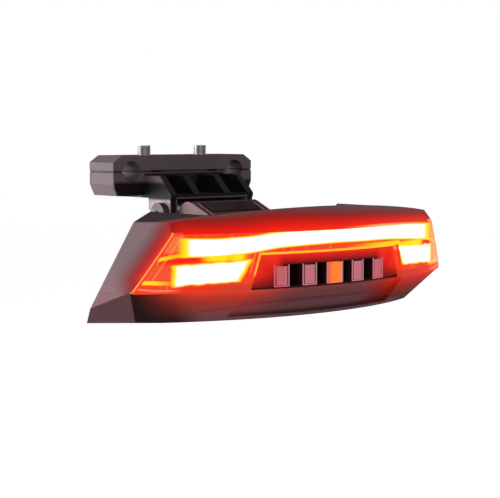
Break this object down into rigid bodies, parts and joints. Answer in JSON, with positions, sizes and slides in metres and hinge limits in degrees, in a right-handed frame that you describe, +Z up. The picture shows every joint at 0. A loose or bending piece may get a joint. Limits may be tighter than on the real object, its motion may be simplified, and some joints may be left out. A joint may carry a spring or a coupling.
{
  "type": "bicycle tail light",
  "caption": "Wide rear light with a full-width bar, side turn lamps and a centre button, on a tilting slide bracket hung from a two-plate saddle-rail clamp.",
  "frame": {"origin": "midway between the two saddle rails, on the plane of their axes, at mid-depth of the rail clamp", "axes": "+X to the bicycle's right, +Y forward along the rails, +Z up; the lens faces -Y"},
  "size_m": [0.14, 0.091, 0.0512],
  "materials": {
    "clamp_plastic": "fine-grained glass-filled nylon, moulded",
    "bracket_plastic": "fine-grained moulded nylon",
    "housing_plastic": "dark grey moulded plastic with a fine spark texture",
    "grille_plastic": "black moulded plastic",
    "tab_gloss": "polished black plastic",
    "bolt_steel": "bright zinc-plated steel",
    "washer_steel": "stamped steel",
    "screw_steel": "blackened steel",
    "seal_rubber": "soft black silicone",
    "lens_red": "polished clear red lens, lit from behind",
    "guide_clear": "clear light guide",
    "bezel_red": "red bezel behind the lens",
    "board_green": "circuit board with green solder mask",
    "diode": "surface-mounted diode",
    "insert_bright": "satin bright insert",
    "button_orange": "translucent orange button, lit from behind",
    "switch_black": "black moulded part",
    "shield_metal": "tinned steel",
    "ribbon": "amber flat cable",
    "cell_wrap": "steel cell in a blue shrink sleeve",
    "contact_nickel": "nickel-plated spring contact"
  },
  "bodies": {
    "rail_clamp": {"lower_clamp_block": "clamp_plastic", "clamp_bolts": "bolt_steel", "hinge_bolt": "bolt_steel", "hinge_nut": "bolt_steel"},
    "upper_clamp": {"upper_clamp_plate": "clamp_plastic", "clamp_nuts": "bolt_steel"},
    "tilt_bracket": {"tilt_bracket": "bracket_plastic", "friction_washers": "washer_steel"},
    "release_tab": {"release_tab": "tab_gloss"},
    "power_button": {"power_button": "button_orange"},
    "usb_cover": {"usb_cover": "seal_rubber"},
    "light": {"slide_receiver": "bracket_plastic", "receiver_screws": "screw_steel", "upper_housing": "housing_plastic", "lower_housing": "housing_plastic", "housing_gasket": "seal_rubber", "housing_screws": "screw_steel", "bottom_cover": "housing_plastic", "cover_screws": "screw_steel", "rear_lens": "lens_red", "upper_light_guide": "guide_clear", "left_lamp_guide": "guide_clear", "right_lamp_guide": "guide_clear", "inner_bezel": "bezel_red", "led_strip": "board_green", "bar_leds": "diode", "turn_leds": "diode", "grille_frame": "grille_plastic", "post_inserts": "insert_bright", "button_switch": "switch_black", "button_board": "board_green", "main_board": "board_green", "radio_module": "shield_metal", "control_chip": "switch_black", "board_screws": "screw_steel", "ribbon_cable": "ribbon", "battery_cell": "cell_wrap", "battery_cradles": "grille_plastic", "battery_contacts": "contact_nickel", "usb_socket": "shield_metal", "charge_board": "board_green"}
  },
  "joints": [
    {"name": "clamp_opening", "type": "slide", "parent": "rail_clamp", "child": "upper_clamp", "axis": [0, 0, 1], "range_m": [0, 0.004]},
    {"name": "tilt", "type": "hinge", "parent": "rail_clamp", "child": "tilt_bracket", "pos_m": [0, -0.018, -0.0135], "axis": [1, 0, 0], "range_deg": [-15, 20]},
    {"name": "release_press", "type": "slide", "parent": "tilt_bracket", "child": "release_tab", "axis": [0, 0, -1], "range_m": [0, 0.0007], "stiffness_N_per_m": 600, "springref_m": -0.0005},
    {"name": "light_slide", "type": "slide", "parent": "tilt_bracket", "child": "light", "axis": [0, -1, 0], "range_m": [0, 0.026]},
    {"name": "button_press", "type": "slide", "parent": "light", "child": "power_button", "axis": [0, 1, 0], "range_m": [0, 0.0006], "stiffness_N_per_m": 800, "springref_m": -0.0005},
    {"name": "flap_swing", "type": "hinge", "parent": "light", "child": "usb_cover", "pos_m": [0, -0.0229, -0.0282], "axis": [1, 0, 0], "range_deg": [0, 90]}
  ]
}
